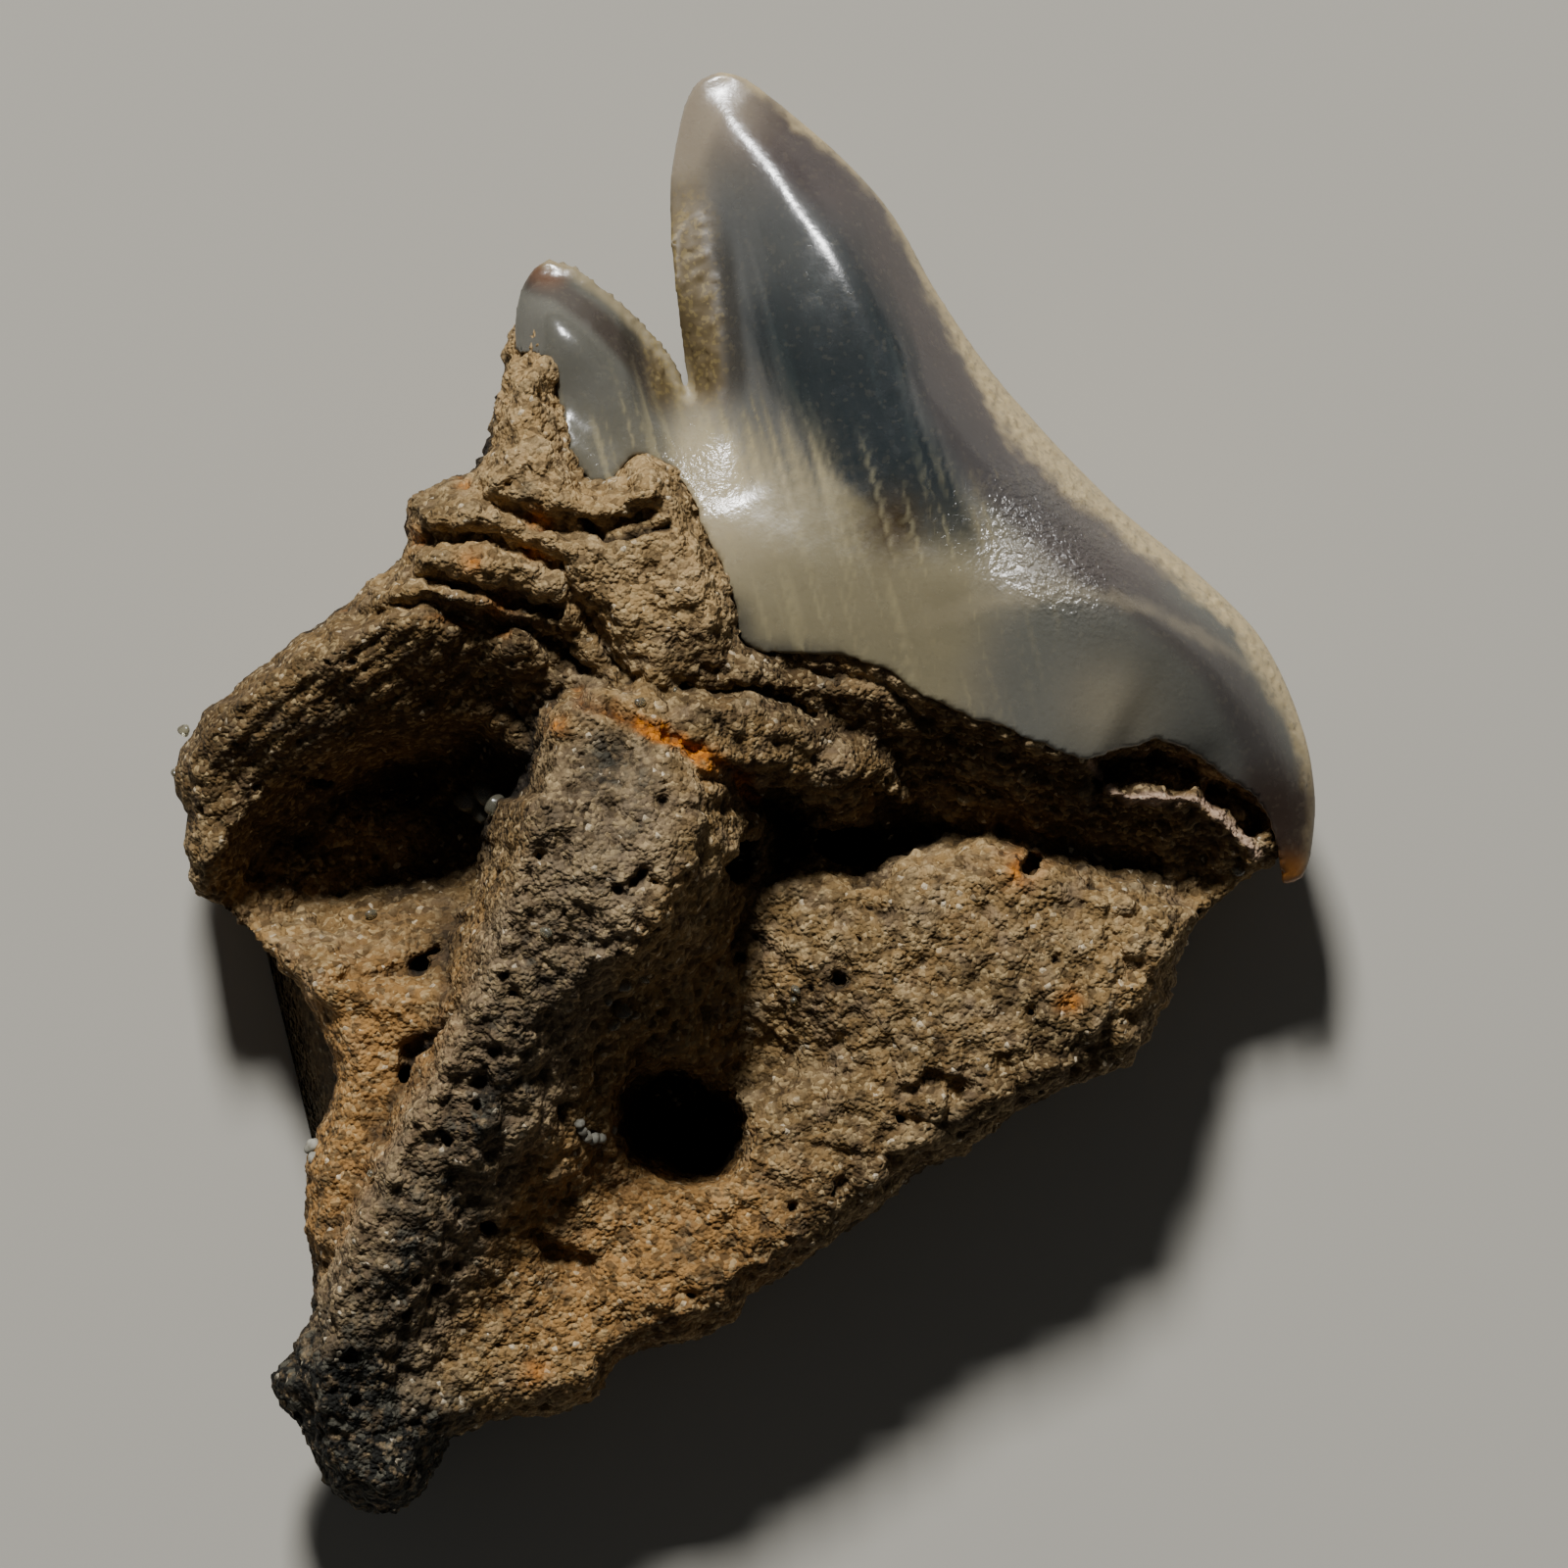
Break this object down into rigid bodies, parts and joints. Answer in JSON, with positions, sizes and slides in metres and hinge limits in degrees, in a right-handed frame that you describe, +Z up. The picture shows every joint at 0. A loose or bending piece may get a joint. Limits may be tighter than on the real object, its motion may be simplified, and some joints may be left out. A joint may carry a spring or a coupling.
{
  "type": "fossil shark tooth",
  "caption": "Fossil shark tooth lying on its flat back: a glossy enamel crown with main cusp, side cusplet and cutting blade on a worn, pitted root with a raised central ridge.",
  "frame": {"origin": "bottom centre of the bounding box: the middle of the tooth in X and Y, on the surface that it lies on in Z", "axes": "+Y from the root's tip to the side of the crown's main cusp, +X towards the crown's heel, +Z up out of the worn inner face, away from the flat back that the tooth lies on"},
  "size_m": [0.0116, 0.0146, 0.0044],
  "materials": {
    "dentine": "dry, porous brown root dentine, stained black along its ridge and rusty orange in a crack",
    "enameloid": "glossy, slightly see-through blue-grey enameloid, milky beige at its base",
    "quartz": "clear to milky sand grains stuck in the hollows"
  },
  "bodies": {
    "root": {"tooth": "dentine"}
  },
  "joints": []
}
